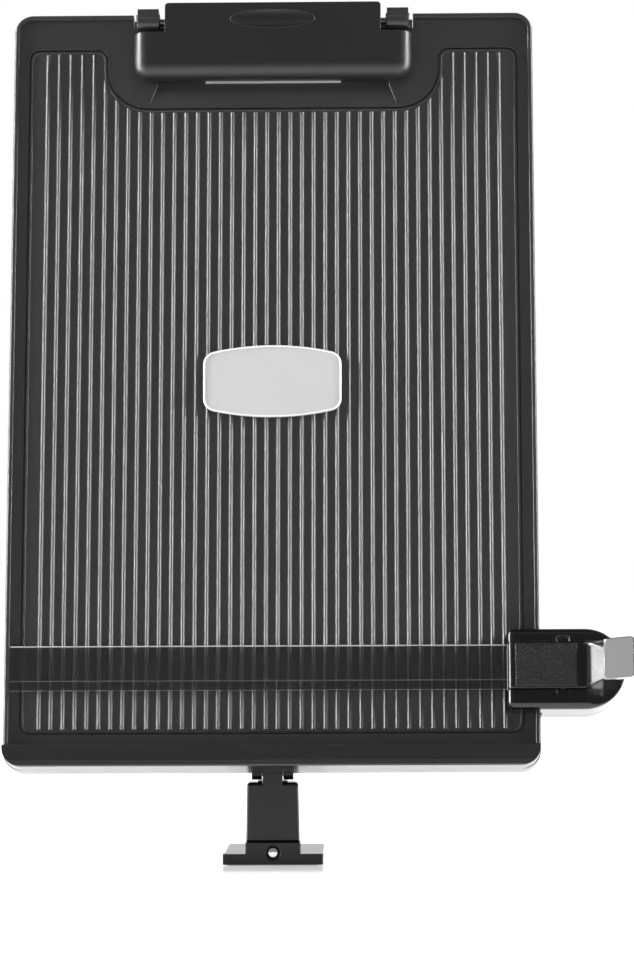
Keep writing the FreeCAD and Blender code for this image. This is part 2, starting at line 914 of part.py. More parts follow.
def lever_spring():
    """Bowed leaf between the lever's relief and the channel's floor."""
    crest = lever_back - lever_relief + 0.05
    left = lever_pivot_x + 3.2
    right = lever_right - 0.5
    middle = (left + right) / 2
    thick = spring_leaf
    floor = channel_floor
    left_out, left_in = Vector(left, floor, 0), Vector(left + thick, floor, 0)
    right_out, right_in = Vector(right, floor, 0), Vector(right - thick, floor, 0)
    outer = Part.Arc(left_out, Vector(middle, crest, 0), right_out)
    inner = Part.Arc(right_in, Vector(middle, crest + thick, 0), left_in)
    left_foot = Part.LineSegment(left_in, left_out)
    right_foot = Part.LineSegment(right_out, right_in)
    face = Part.Face(Part.Wire([part.toShape() for part in (outer, right_foot, inner, left_foot)]))
    leaf = face.extrude(Vector(0, 0, spring_leaf_height))
    leaf.translate(Vector(0, 0, lever_middle - spring_leaf_height / 2))
    return leaf


def bracket_screw_places():
    low = hinge_up + bracket_screw_low
    return [(side * bracket_screw_x, low + rise) for side in (-1, 1) for rise in (0, bracket_screw_rise)]


def pivot_bracket():
    """Plate on the board's back with two ears round the arm's tongue."""
    front = board_depth
    back = board_depth + bracket_plate
    half = bracket_width / 2
    low = bracket_low
    high = bracket_low + bracket_height
    foot_round, top_round = bracket_rounds
    corners = [(-half, low, foot_round), (half, low, foot_round), (half, high, top_round), (-half, high, top_round)]
    piece = plate(corners, front, back)
    web = [
        (front + 0.5, low),
        (front + 0.5, low + web_height),
        (back, low + web_height),
        (hinge_back + ear_radius * 0.8, hinge_up + ear_radius * 0.6),
        (hinge_back, hinge_up - ear_radius + 0.2),
    ]
    for side in (-1, 1):
        left, right = span(side, ear_inside, ear_outside)
        piece = piece.fuse([hinge_rod(ear_radius, left, right), bar(web, left, right)])
    piece = piece.cut(hinge_rod(hinge_bolt_radius + seat_gap, -half, half))
    for x, z in bracket_screw_places():
        piece = piece.cut(rod(1.4, (x, front - 1, z), (x, back + 1, z)))
    return piece.removeSplitter()


def bracket_screws():
    model = screw(cover_screw_radius, 2.6, 1.6, bracket_screw_length)
    return screws_at(bracket_screw_places(), model, board_depth + bracket_plate + 1.6)


def tilt_bolt():
    outside = -ear_outside - bolt_head_height
    shank = hinge_rod(hinge_bolt_radius, -ear_outside, ear_outside + nut_height + 0.6)
    head = hinge_rod(bolt_head_radius, outside, -ear_outside)
    head = rounded(head, bolt_head_height / 2, lambda b: b.XMax < outside + 0.01)
    half = bolt_slot / 2
    slot = box(outside - 1, outside + 1, hinge_back - 4, hinge_back + 4, hinge_up - half, hinge_up + half)
    return shank.fuse(head).cut(slot).removeSplitter()


def tilt_nut():
    points = []
    for i in range(6):
        turn = math.radians(60 * i)
        points.append((hinge_back + nut_radius * math.cos(turn), hinge_up + nut_radius * math.sin(turn)))
    nut = bar(points, ear_outside, ear_outside + nut_height)
    return nut.cut(hinge_rod(hinge_bolt_radius + seat_gap, 0, 2 * ear_outside))


def friction_washers():
    made = []
    for side in (-1, 1):
        inside = tongue_width / 2 + seat_gap
        left, right = span(side, inside, inside + washer_thickness)
        bore = hinge_rod(hinge_bolt_radius + seat_gap, left - 1, right + 1)
        made.append(hinge_rod(washer_radius, left, right).cut(bore))
    return Part.makeCompound(made)


def arm():
    """Upright that widens downwards, with a round-ended tongue above and a spigot below."""
    front = hinge_y - arm_thickness / 2
    back = hinge_y + arm_thickness / 2
    top = arm_top_width / 2
    foot = arm_bottom_width / 2
    low = socket_top
    corners = [
        (-foot, low, 0.6),
        (foot, low, 0.6),
        (top, arm_shoulder, arm_corner),
        (-top, arm_shoulder, arm_corner),
    ]
    body = rounded(plate(corners, front, back), 1.2, lambda b: b.YLength < 0.01 and b.ZLength > 5)
    half = tongue_width / 2
    tongue = rod(tongue_radius, (-half, hinge_y, hinge_height), (half, hinge_y, hinge_height))
    neck = box(-half, half, front, back, arm_shoulder - 3, hinge_height)
    neck_half = neck_width / 2
    neck_top = arm_shoulder + neck_rise
    collar = box(-neck_half, neck_half, front + 1, back - 1, arm_shoulder - 1, neck_top)
    body = body.fuse([tongue, neck, collar])
    spigot = box(
        -spigot_width / 2,
        spigot_width / 2,
        hinge_y - spigot_thickness / 2,
        hinge_y + spigot_thickness / 2,
        low - spigot_length,
        low + 1,
    )
    body = body.fuse(spigot)
    eye = hinge_bolt_radius + running_gap
    body = body.cut(rod(eye, (-half - 1, hinge_y, hinge_height), (half + 1, hinge_y, hinge_height)))
    body = body.cut(foot_screw_bore(front, back + 1))
    return body.removeSplitter()


def foot_screw_bore(front, back):
    return rod(foot_screw_radius + 0.1, (0, front, foot_screw_height), (0, back, foot_screw_height))


def foot_base():
    """Flat plate with a raised socket at the front for the arm's spigot."""
    half = foot_width / 2
    front = -foot_depth / 2
    back = foot_depth / 2
    corners = [
        Vector(-half, front + 2, foot_lift),
        Vector(half, front + 2, foot_lift),
        Vector(half, back, foot_lift),
        Vector(-half, back, foot_lift),
    ]
    slab = Part.Face(Part.makePolygon(corners + corners[:1]))
    slab = slab.extrude(Vector(0, 0, foot_thickness - foot_lift))
    slab = rounded(slab, foot_corner, lambda b: b.ZLength > 1 and b.YMin > 0)
    slab = rounded(slab, 0.8, lambda b: b.ZMin > foot_thickness - 0.01 and b.YMax > front + 3)
    lip = box(-bar_width / 2, bar_width / 2, front, front + bar_depth, foot_lift, bar_height)
    lip = rounded(lip, 0.7, lambda b: b.XLength < 0.01 and b.YLength < 0.01)
    socket = box(-socket_width / 2, socket_width / 2, front, front + socket_depth, foot_lift, socket_top)
    socket = rounded(socket, 0.7, lambda b: b.ZLength > 1)
    base = slab.fuse([lip, socket])
    base = base.cut(
        box(
            -spigot_width / 2 - fit_gap,
            spigot_width / 2 + fit_gap,
            hinge_y - spigot_thickness / 2 - fit_gap,
            hinge_y + spigot_thickness / 2 + fit_gap,
            socket_top - spigot_length - fit_gap,
            socket_top + 1,
        )
    )
    seat = front + foot_screw_seat
    recess = rod(foot_screw_recess, (0, front - 1, foot_screw_height), (0, seat, foot_screw_height))
    base = base.cut([recess, foot_screw_bore(front, front + socket_depth + 1)])
    inset = pad_inset
    base = base.cut(box(-half + inset, half - inset, front + inset + 2, back - inset, 0, foot_pad_thickness))
    return base.removeSplitter()


def foot_pad():
    half = foot_width / 2 - pad_inset - seat_gap
    front = -foot_depth / 2 + pad_inset + 2 + seat_gap
    back = foot_depth / 2 - pad_inset - seat_gap
    return box(-half, half, front, back, 0, foot_pad_thickness)


def foot_screw():
    """Domed screw that holds the spigot in its socket."""
    front = -foot_depth / 2
    seat = front + foot_screw_seat
    rise = foot_screw_rise
    head = foot_screw_head
    shoulder = Vector(head * 0.62, seat - rise * 0.78, 0)
    crown = Part.Arc(Vector(0, seat - rise, 0), shoulder, Vector(head, seat, 0))
    tip = front + socket_depth - 0.6
    rest = Part.makePolygon(
        [
            Vector(head, seat, 0),
            Vector(foot_screw_radius, seat, 0),
            Vector(foot_screw_radius, tip, 0),
            Vector(0, tip, 0),
            Vector(0, seat - rise, 0),
        ]
    )
    face = Part.Face(Part.Wire([crown.toShape()] + rest.Edges))
    body = face.revolve(Vector(0, 0, 0), Vector(0, 1, 0), 360)
    body.translate(Vector(0, 0, foot_screw_height))
    return body


def lean_back(shape):
    """Lean the upright board about its hinge and set the hinge on the arm."""
    shape.rotate(Vector(0, hinge_back, hinge_up), Vector(1, 0, 0), -lean)
    shape.translate(Vector(0, hinge_y - hinge_back, hinge_height - hinge_up))
    return shape


board_pieces = {
    "front_frame": front_frame,
    "ribbed_panel": ribbed_panel,
    "back_cover": back_cover,
    "cover_screws": cover_screws,
    "paper_ledge": paper_ledge,
    "label_plate": label_plate,
    "clip_flap": clip_flap,
    "clip_bracket": clip_bracket,
    "clip_pin": clip_pin,
    "clip_springs": clip_springs,
    "clip_grip": clip_grip,
    "line_guide": line_guide,
    "slider_front": slider_front,
    "slider_back": slider_back_shell,
    "slider_screws": slider_screws,
    "release_lever": release_lever,
    "lever_pad": lever_pad,
    "lever_tail": lever_tail,
    "lever_pin": lever_pin,
    "lever_spring": lever_spring,
    "brake_shoe": brake_shoe,
    "pivot_bracket": pivot_bracket,
    "bracket_screws": bracket_screws,
    "tilt_bolt": tilt_bolt,
    "tilt_nut": tilt_nut,
    "friction_washers": friction_washers,
}

stand_pieces = {
    "arm": arm,
    "foot_base": foot_base,
    "foot_pad": foot_pad,
    "foot_screw": foot_screw,
}

os.makedirs("parts", exist_ok=True)
for name, make in board_pieces.items():
    lean_back(make()).exportStep("parts/" + name + ".step")
for name, make in stand_pieces.items():
    make().exportStep("parts/" + name + ".step")
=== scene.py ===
# %% [markdown]
# # A copy holder with a line guide
#
# A copy holder stands on a desk and props up a sheet of paper for typing from. This one is
# a black ribbed board on a small foot, with a sprung clip above, a ledge below and a clear
# guide that slides down the page line by line. The solid pieces come measured and placed
# from the frame, so this lesson is about what makes black plastic look real: its grain, its
# soft corners, the way it mirrors a pale studio, and the few bright pieces beside it.

# %% Load the frame
import json
import math

import bpy
from mathutils import Matrix, Vector


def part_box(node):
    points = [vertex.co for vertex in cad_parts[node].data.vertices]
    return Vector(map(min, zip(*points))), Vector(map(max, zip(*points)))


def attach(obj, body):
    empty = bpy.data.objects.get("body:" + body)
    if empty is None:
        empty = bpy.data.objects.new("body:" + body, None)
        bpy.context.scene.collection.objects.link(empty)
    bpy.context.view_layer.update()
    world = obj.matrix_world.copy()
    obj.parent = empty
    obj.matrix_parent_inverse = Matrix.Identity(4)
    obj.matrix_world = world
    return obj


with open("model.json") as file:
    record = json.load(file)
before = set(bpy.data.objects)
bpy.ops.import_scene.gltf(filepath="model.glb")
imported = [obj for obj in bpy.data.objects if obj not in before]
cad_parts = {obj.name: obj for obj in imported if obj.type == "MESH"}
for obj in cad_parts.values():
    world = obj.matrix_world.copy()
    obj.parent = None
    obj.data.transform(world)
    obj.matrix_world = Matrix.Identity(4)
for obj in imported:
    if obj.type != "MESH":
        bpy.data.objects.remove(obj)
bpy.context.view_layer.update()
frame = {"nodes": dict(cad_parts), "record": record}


# %% [markdown]
# ## The camera
#
# A product photograph like this is taken from well back with a long lens, so the board's
# sides stay almost parallel. From 1.8 m away, a board of this size fills a tall frame at
# about 157 mm. The camera looks level, so the top of the foot shows only as a thin band.
# It also leans by a fraction of a degree, which a tilted up vector gives.

# %% Place the camera
camera_place = Vector((0.0552, -1.7854, 0.1616))
camera_aim = Vector((-0.0204, 0.9998, 0.0))
camera_lean = math.radians(0.286)
board_middle = Vector((0.0, 0.0, 0.2))

camera_data = bpy.data.cameras.new("camera")
camera_data.lens = 157.4
camera_data.sensor_width = 36.0
camera_data.clip_end = 50.0
camera = bpy.data.objects.new("camera", camera_data)
bpy.context.collection.objects.link(camera)

backward = -camera_aim.normalized()
upward = Vector((math.sin(camera_lean), 0.0, math.cos(camera_lean)))
rightward = upward.cross(backward).normalized()
upward = backward.cross(rightward)
camera_turn = Matrix((rightward, upward, backward)).transposed().to_4x4()
camera.matrix_world = Matrix.Translation(camera_place) @ camera_turn
bpy.context.scene.camera = camera
bpy.context.scene.view_settings.view_transform = "Standard"
print("Camera", round((camera_place - board_middle).length, 2), "m from the board")


# %% [markdown]
# ## The studio
#
# Black plastic has almost no colour of its own: what shows is what it mirrors. A white room
# all round would turn it flat grey, so the room has three looks. To the eye it is white. As
# soft light it is an even grey. To a mirror it is white behind the object, nearly black at
# its sides, and a mid grey with a darker middle on the camera's side. Light Path tells the
# shader which kind of ray is asking, and a colour ramp over the ray's direction, from 0
# towards the camera to 1 away from it, does the rest.

# %% Functions: three small nodes
def math_node(nodes, operation, *values):
    """Math node with the given values; a socket that is linked later ignores its value."""
    node = nodes.new("ShaderNodeMath")
    node.operation = operation
    for index, value in enumerate(values):
        node.inputs[index].default_value = value
    return node


def range_node(nodes, from_low, from_high, to_low=0.0, to_high=1.0):
    """Map Range node that spreads from_low to from_high over to_low to to_high."""
    node = nodes.new("ShaderNodeMapRange")
    node.inputs["From Min"].default_value = from_low
    node.inputs["From Max"].default_value = from_high
    node.inputs["To Min"].default_value = to_low
    node.inputs["To Max"].default_value = to_high
    return node


def white_background(nodes, strength):
    """White Background node; a linked colour takes the white's place."""
    node = nodes.new("ShaderNodeBackground")
    node.inputs["Color"].default_value = (1.0, 1.0, 1.0, 1.0)
    node.inputs["Strength"].default_value = strength
    return node


# %% Light the room
room_greys = ((0.12, 0.22), (0.2, 0.5), (0.27, 0.5), (0.33, 0.06), (0.58, 0.06), (0.7, 0.16), (0.85, 1.0))

world = bpy.data.worlds.new("studio")
bpy.context.scene.world = world
world.use_nodes = True
world_nodes = world.node_tree.nodes
world_links = world.node_tree.links
world_nodes.clear()
world_output = world_nodes.new("ShaderNodeOutputWorld")
seen = white_background(world_nodes, 1.0)
lit = white_background(world_nodes, 0.35)
mirrored = white_background(world_nodes, 1.0)

direction = world_nodes.new("ShaderNodeTexCoord")
split = world_nodes.new("ShaderNodeSeparateXYZ")
half_turn = math_node(world_nodes, "MULTIPLY_ADD", 0.0, 0.5, 0.5)
room_side = world_nodes.new("ShaderNodeValToRGB")
stops = room_side.color_ramp.elements
for place, grey in room_greys:
    stops.new(place).color = (grey, grey, grey, 1.0)
stops.remove(stops[0])
stops.remove(stops[-1])
world_links.new(direction.outputs["Generated"], split.inputs["Vector"])
world_links.new(split.outputs["Y"], half_turn.inputs[0])
world_links.new(half_turn.outputs[0], room_side.inputs["Fac"])
world_links.new(room_side.outputs["Color"], mirrored.inputs["Color"])

ray = world_nodes.new("ShaderNodeLightPath")
either = math_node(world_nodes, "MAXIMUM")
glossy_mix = world_nodes.new("ShaderNodeMixShader")
world_mix = world_nodes.new("ShaderNodeMixShader")
world_links.new(ray.outputs["Is Camera Ray"], either.inputs[0])
world_links.new(ray.outputs["Is Transmission Ray"], either.inputs[1])
world_links.new(ray.outputs["Is Glossy Ray"], glossy_mix.inputs["Fac"])
world_links.new(lit.outputs["Background"], glossy_mix.inputs[1])
world_links.new(mirrored.outputs["Background"], glossy_mix.inputs[2])
world_links.new(either.outputs[0], world_mix.inputs["Fac"])
world_links.new(glossy_mix.outputs["Shader"], world_mix.inputs[1])
world_links.new(seen.outputs["Background"], world_mix.inputs[2])
world_links.new(world_mix.outputs["Shader"], world_output.inputs["Surface"])
print("The mirrored room has", len(stops), "greys")


# %% [markdown]
# Two tall narrow lamps stand left and right, almost level with the board's face and leaning
# back with it. Their light grazes the face and misses it, but each rib's flank mirrors it
# towards the camera, so the ribs come out as thin bright lines. The left one is stronger.
# A wide soft lamp above fills in the rest. It is kept out of mirrors, or it would show as a
# glare in the clip's finger dish.

# %% Hang the lamps
board_lean = math.radians(13.4)
board_up = Vector((0.0, math.sin(board_lean), math.cos(board_lean)))
board_front = Vector((0.0, -math.cos(board_lean), math.sin(board_lean)))


def soft_box(name, place, width, height, radiance):
    """Rectangular area lamp that faces the board's middle and leans back with the board."""
    lamp_data = bpy.data.lights.new(name, "AREA")
    lamp_data.shape = "RECTANGLE"
    lamp_data.size = width
    lamp_data.size_y = height
    lamp_data.energy = radiance * math.pi * width * height
    lamp = bpy.data.objects.new(name, lamp_data)
    back = (place - board_middle).normalized()
    side = board_up.cross(back).normalized()
    turn = Matrix((side, back.cross(side), back)).transposed().to_4x4()
    lamp.matrix_world = Matrix.Translation(place) @ turn
    bpy.context.collection.objects.link(lamp)
    print(name, "gives", round(lamp_data.energy, 1), "W")
    return lamp


lamp_reach = Vector((0.9, 0.0, 0.0))
lamp_plane = board_middle + board_front * 0.1
overhead_place = Vector((0.0, -0.9, 1.7))
soft_box("lamp_left", lamp_plane - lamp_reach, width=0.15, height=1.6, radiance=58.0)
soft_box("lamp_right", lamp_plane + lamp_reach, width=0.12, height=1.6, radiance=50.0)
overhead = soft_box("lamp_above", overhead_place, width=1.4, height=0.6, radiance=4.5)
overhead.visible_glossy = False


# %% [markdown]
# The floor is a wide sheet of white card. To the eye and to mirrors it also glows a little,
# so its far end runs into the white room without a horizon, and it keeps the soft shadow.
# From the foot backwards it is polished enough to mirror what stands on it. Towards the
# camera it turns dull within a hand's width, so the lamps leave no glare in it.

# %% Lay the floor
polished_from = -0.09
dull_from = -0.17

bpy.ops.object.select_all(action="DESELECT")
bpy.ops.mesh.primitive_plane_add(size=8.0, location=(0.0, 0.0, 0.0))
floor = bpy.context.active_object
floor.name = "floor"

floor_card = bpy.data.materials.new("floor_card")
floor_card.use_nodes = True
floor_nodes = floor_card.node_tree.nodes
floor_links = floor_card.node_tree.links
card = floor_nodes["Principled BSDF"]
card.inputs["Base Color"].default_value = (0.92, 0.92, 0.92, 1.0)
card.inputs["Emission Color"].default_value = (1.0, 1.0, 1.0, 1.0)
floor_place = floor_nodes.new("ShaderNodeTexCoord")
floor_split = floor_nodes.new("ShaderNodeSeparateXYZ")
floor_polish = range_node(floor_nodes, polished_from, dull_from, 0.09, 0.6)
floor_links.new(floor_place.outputs["Object"], floor_split.inputs["Vector"])
floor_links.new(floor_split.outputs["Y"], floor_polish.inputs["Value"])
floor_links.new(floor_polish.outputs["Result"], card.inputs["Roughness"])

floor_ray = floor_nodes.new("ShaderNodeLightPath")
seen_glow = math_node(floor_nodes, "MULTIPLY", 0.0, 0.25)
mirrored_glow = math_node(floor_nodes, "MULTIPLY_ADD", 0.0, 0.5, 0.0)
floor_links.new(floor_ray.outputs["Is Camera Ray"], seen_glow.inputs[0])
floor_links.new(floor_ray.outputs["Is Glossy Ray"], mirrored_glow.inputs[0])
floor_links.new(seen_glow.outputs[0], mirrored_glow.inputs[2])
floor_links.new(mirrored_glow.outputs[0], card.inputs["Emission Strength"])
floor.data.materials.append(floor_card)
print("The floor turns dull over", round(1000 * (polished_from - dull_from)), "mm")


# %% [markdown]
# ## Effects that several finishes share
#
# A node group is a finish's recipe written once. Each group below puts out a mask, a value
# or a normal, and each material decides how much of it to use.
#
# Moulded plastic takes its grain from the spark-eroded steel of the mould: a fine random
# pebble, a fraction of a millimetre across. A noise with some fine detail makes it.

# %% Group: mould grain
def new_group(name, inputs, outputs):
    """Shader node group with float inputs {name: default} and outputs {name: socket type}."""
    group = bpy.data.node_groups.new(name, "ShaderNodeTree")
    for label, value in inputs.items():
        socket = group.interface.new_socket(label, in_out="INPUT", socket_type="NodeSocketFloat")
        socket.default_value = value
    for label, kind in outputs.items():
        group.interface.new_socket(label, in_out="OUTPUT", socket_type=kind)
    entry = group.nodes.new("NodeGroupInput")
    leave = group.nodes.new("NodeGroupOutput")
    print("Group", name, "puts out", ", ".join(outputs))
    return group, entry, leave


mould_grain, grain_in, grain_out = new_group(
    "mould_grain",
    {"Pebbles per metre": 2600.0},
    {"Height": "NodeSocketFloat"},
)
grain_place = mould_grain.nodes.new("ShaderNodeTexCoord")
pebbles = mould_grain.nodes.new("ShaderNodeTexNoise")
pebbles.inputs["Detail"].default_value = 3.0
pebbles.inputs["Roughness"].default_value = 0.6
mould_grain.links.new(grain_place.outputs["Object"], pebbles.inputs["Vector"])
mould_grain.links.new(grain_in.outputs["Pebbles per metre"], pebbles.inputs["Scale"])
mould_grain.links.new(pebbles.outputs["Fac"], grain_out.inputs["Height"])


# %% [markdown]
# Nothing moulded or stamped has a truly sharp corner: a mould's corners are rounded by a
# few tenths of a millimetre, and it is that small round that catches the light. The Bevel
# node turns the surface's normal near an edge as such a round would. How far it has turned
# is also a mask that the finishes use to change the colour of their corners.

# %% Group: soft corners
soft_corners, corner_in, corner_out = new_group(
    "soft_corners",
    {"Radius": 0.0003},
    {"Edge": "NodeSocketFloat", "Normal": "NodeSocketVector"},
)
# Likeness of the turned normal to the flat one, at no turn and at a full one.
unturned = 1.0
fully_turned = 0.75
round_over = soft_corners.nodes.new("ShaderNodeBevel")
round_over.samples = 6
flat_way = soft_corners.nodes.new("ShaderNodeNewGeometry")
likeness = soft_corners.nodes.new("ShaderNodeVectorMath")
likeness.operation = "DOT_PRODUCT"
turned = range_node(soft_corners.nodes, unturned, fully_turned)
soft_corners.links.new(corner_in.outputs["Radius"], round_over.inputs["Radius"])
soft_corners.links.new(round_over.outputs["Normal"], likeness.inputs[0])
soft_corners.links.new(flat_way.outputs["Normal"], likeness.inputs[1])
soft_corners.links.new(likeness.outputs["Value"], turned.inputs["Value"])
soft_corners.links.new(turned.outputs["Result"], corner_out.inputs["Edge"])
soft_corners.links.new(round_over.outputs["Normal"], corner_out.inputs["Normal"])


# %% [markdown]
# Things on a desk are wiped and handled. The wipes leave faint streaks that only show as
# changes in gloss, so this group makes a long thin noise for the roughness, and a scatter
# of dust for the colour.

# %% Group: wiped and dusty
wiped, wiped_in, wiped_out = new_group(
    "wiped",
    {"Streaks per metre": 60.0},
    {"Streak": "NodeSocketFloat", "Dust": "NodeSocketFloat"},
)
speck_rim = 0.075
speck_heart = 0.03
wiped_place = wiped.nodes.new("ShaderNodeTexCoord")
stretch = wiped.nodes.new("ShaderNodeMapping")
stretch.inputs["Rotation"].default_value = (0.0, 0.5, 0.0)
stretch.inputs["Scale"].default_value = (1.0, 1.0, 0.12)
streaks = wiped.nodes.new("ShaderNodeTexNoise")
streaks.inputs["Detail"].default_value = 6.0
specks = wiped.nodes.new("ShaderNodeTexVoronoi")
specks.inputs["Scale"].default_value = 260.0
speck_size = range_node(wiped.nodes, speck_rim, speck_heart)
wiped.links.new(wiped_place.outputs["Object"], stretch.inputs["Vector"])
wiped.links.new(stretch.outputs["Vector"], streaks.inputs["Vector"])
wiped.links.new(wiped_in.outputs["Streaks per metre"], streaks.inputs["Scale"])
wiped.links.new(wiped_place.outputs["Object"], specks.inputs["Vector"])
wiped.links.new(specks.outputs["Distance"], speck_size.inputs["Value"])
wiped.links.new(streaks.outputs["Fac"], wiped_out.inputs["Streak"])
wiped.links.new(speck_size.outputs["Result"], wiped_out.inputs["Dust"])


# %% [markdown]
# Every material below is built the same way: a Principled shader, the groups that it
# needs, a mix of two colours and a bump over the softened corners. These few functions say
# each of those things once. A colour can be one grey, three values or another node's output.

# %% Functions: materials from nodes
def new_material(name):
    """Material with its node tree and its shader."""
    material = bpy.data.materials.new(name)
    material.use_nodes = True
    tree = material.node_tree
    return material, tree, tree.nodes["Principled BSDF"]


def group_node(tree, group, **values):
    """Group placed in a material; Streaks_per_metre=40 sets its socket Streaks per metre."""
    node = tree.nodes.new("ShaderNodeGroup")
    node.node_tree = group
    for label, value in values.items():
        node.inputs[label.replace("_", " ")].default_value = value
    return node


def span(tree, source, low, high):
    """Value that spreads a 0 to 1 source over low to high."""
    node = range_node(tree.nodes, 0.0, 1.0, low, high)
    tree.links.new(source, node.inputs["Value"])
    return node.outputs["Result"]


def feed_colour(tree, socket, colour):
    """Give a colour socket a grey, three values or another node's output."""
    if isinstance(colour, bpy.types.NodeSocket):
        tree.links.new(colour, socket)
    elif isinstance(colour, tuple):
        socket.default_value = (*colour, 1.0)
    else:
        socket.default_value = (colour, colour, colour, 1.0)


def colour_mix(tree, mask, first, second):
    """Colour that goes from first to second as the mask goes from 0 to 1."""
    node = tree.nodes.new("ShaderNodeMix")
    node.data_type = "RGBA"
    feed_colour(tree, node.inputs["A"], first)
    feed_colour(tree, node.inputs["B"], second)
    tree.links.new(mask, node.inputs["Factor"])
    return node.outputs["Result"]


def bumped(tree, height, distance, strength, normal):
    """Normal that lays a height, in units of distance, over another normal."""
    bump = tree.nodes.new("ShaderNodeBump")
    bump.inputs["Distance"].default_value = distance
    bump.inputs["Strength"].default_value = strength
    tree.links.new(height, bump.inputs["Height"])
    tree.links.new(normal, bump.inputs["Normal"])
    return bump.outputs["Normal"]


# %% [markdown]
# ## Black plastics
#
# The board, the ribbed panel, the clip, the slider and the stand are the same black,
# finished differently: eroded grain on the board, a satin panel, a half-gloss clip, a
# polished slider and a dark smooth stand. One function builds the shader from a few
# numbers, and the groups above supply the grain, the corner and the streaks.

# %% Function: moulded plastic
plastic_ior = 1.49
pebble_depth = 0.00015
blue_lift = 1.04
dust_grey = (0.22, 0.22, 0.21)
dust_share = 0.12


def moulded_plastic(name, shade, corner_grey, rough, grain, pebbles_per_metre, corner, mirror=0.5):
    """Black plastic: shade is its grey and a second, lighter grey is laid on its corners; rough is a
    (low, high) pair.
    """
    material, tree, shader = new_material(name)
    shader.inputs["IOR"].default_value = plastic_ior
    shader.inputs["Specular IOR Level"].default_value = mirror
    texture = group_node(tree, mould_grain, Pebbles_per_metre=pebbles_per_metre)
    edges = group_node(tree, soft_corners, Radius=corner)
    wipes = group_node(tree, wiped)
    softened = edges.outputs["Normal"]
    grained = bumped(tree, texture.outputs["Height"], pebble_depth, grain, softened)
    tree.links.new(grained, shader.inputs["Normal"])
    # The colour turns to the lighter corner grey where the soft corners' mask is high.
    clean = colour_mix(tree, edges.outputs["Edge"], (shade, shade, shade * blue_lift), corner_grey)
    faint = math_node(tree.nodes, "MULTIPLY", 0.0, dust_share)
    tree.links.new(wipes.outputs["Dust"], faint.inputs[0])
    tree.links.new(colour_mix(tree, faint.outputs[0], clean, dust_grey), shader.inputs["Base Color"])
    tree.links.new(span(tree, wipes.outputs["Streak"], *rough), shader.inputs["Roughness"])
    print(name, "is", shade, "with corners of", round(1000 * corner, 2), "mm")
    return material


# %% Make the black plastics
board_black = moulded_plastic(
    "board_black", shade=0.026, corner_grey=0.05, rough=(0.18, 0.26),
    grain=0.6, pebbles_per_metre=1300.0, corner=0.0004,
)
# Painted shade: the ledge is the board's plastic, given a darker copy of its black.
ledge_shaded_black = moulded_plastic(
    "ledge_shaded_black", shade=0.014, corner_grey=0.03, rough=(0.18, 0.26),
    grain=0.5, pebbles_per_metre=1300.0, corner=0.0004,
)
panel_black = moulded_plastic(
    "panel_black", shade=0.034, corner_grey=0.06, rough=(0.16, 0.24),
    grain=0.9, pebbles_per_metre=1500.0, corner=0.00025,
)
clip_black = moulded_plastic(
    "clip_black", shade=0.010, corner_grey=0.02, rough=(0.3, 0.38),
    grain=0.3, pebbles_per_metre=1500.0, corner=0.0035,
)
slider_gloss = moulded_plastic(
    "slider_gloss", shade=0.003, corner_grey=0.01, rough=(0.05, 0.12),
    grain=0.05, pebbles_per_metre=900.0, corner=0.0012,
)
stand_black = moulded_plastic(
    "stand_black", shade=0.006, corner_grey=0.02, rough=(0.12, 0.2),
    grain=0.15, pebbles_per_metre=1200.0, corner=0.0006, mirror=0.25,
)


# %% [markdown]
# The clip's lower edge is rolled over a wide round, but its thumb plate is thin and crisp,
# and a wide round there would smooth its finger dish away. So the size of its soft corner
# goes with the height above the table.

# %% Sharpen the clip's corners towards its top
roll_top = 0.346
thumb_foot = 0.353
roll_corner = 0.0035
thumb_corner = 0.0004

clip_tree = clip_black.node_tree
clip_groups = [node for node in clip_tree.nodes if node.type == "GROUP"]
clip_corner = next(node for node in clip_groups if node.node_tree == soft_corners)
clip_place = clip_tree.nodes.new("ShaderNodeTexCoord")
clip_split = clip_tree.nodes.new("ShaderNodeSeparateXYZ")
clip_round = range_node(clip_tree.nodes, roll_top, thumb_foot, roll_corner, thumb_corner)
clip_tree.links.new(clip_place.outputs["Object"], clip_split.inputs["Vector"])
clip_tree.links.new(clip_split.outputs["Z"], clip_round.inputs["Value"])
clip_tree.links.new(clip_round.outputs["Result"], clip_corner.inputs["Radius"])
print("The clip's corners shrink over", round(1000 * (thumb_foot - roll_top)), "mm")


# %% [markdown]
# ## Rubber, vinyl and the washers
#
# The lever's pad is grained like leather, which a cell pattern gives: raised islands with
# furrows between them, and the furrows are coloured darker as painted shade. The foot's pad
# and the brake shoe are plain dull rubber, the clip's grip is pale vinyl, and the hinge's
# washers are fibre. All are the same recipe with finer or coarser cells.

# %% Make the soft materials
furrow_edge = 0.15
island_edge = 0.75
island_strength = 0.8
warp_share = 0.7
rough_spread = 0.08
soft_corner = 0.0004


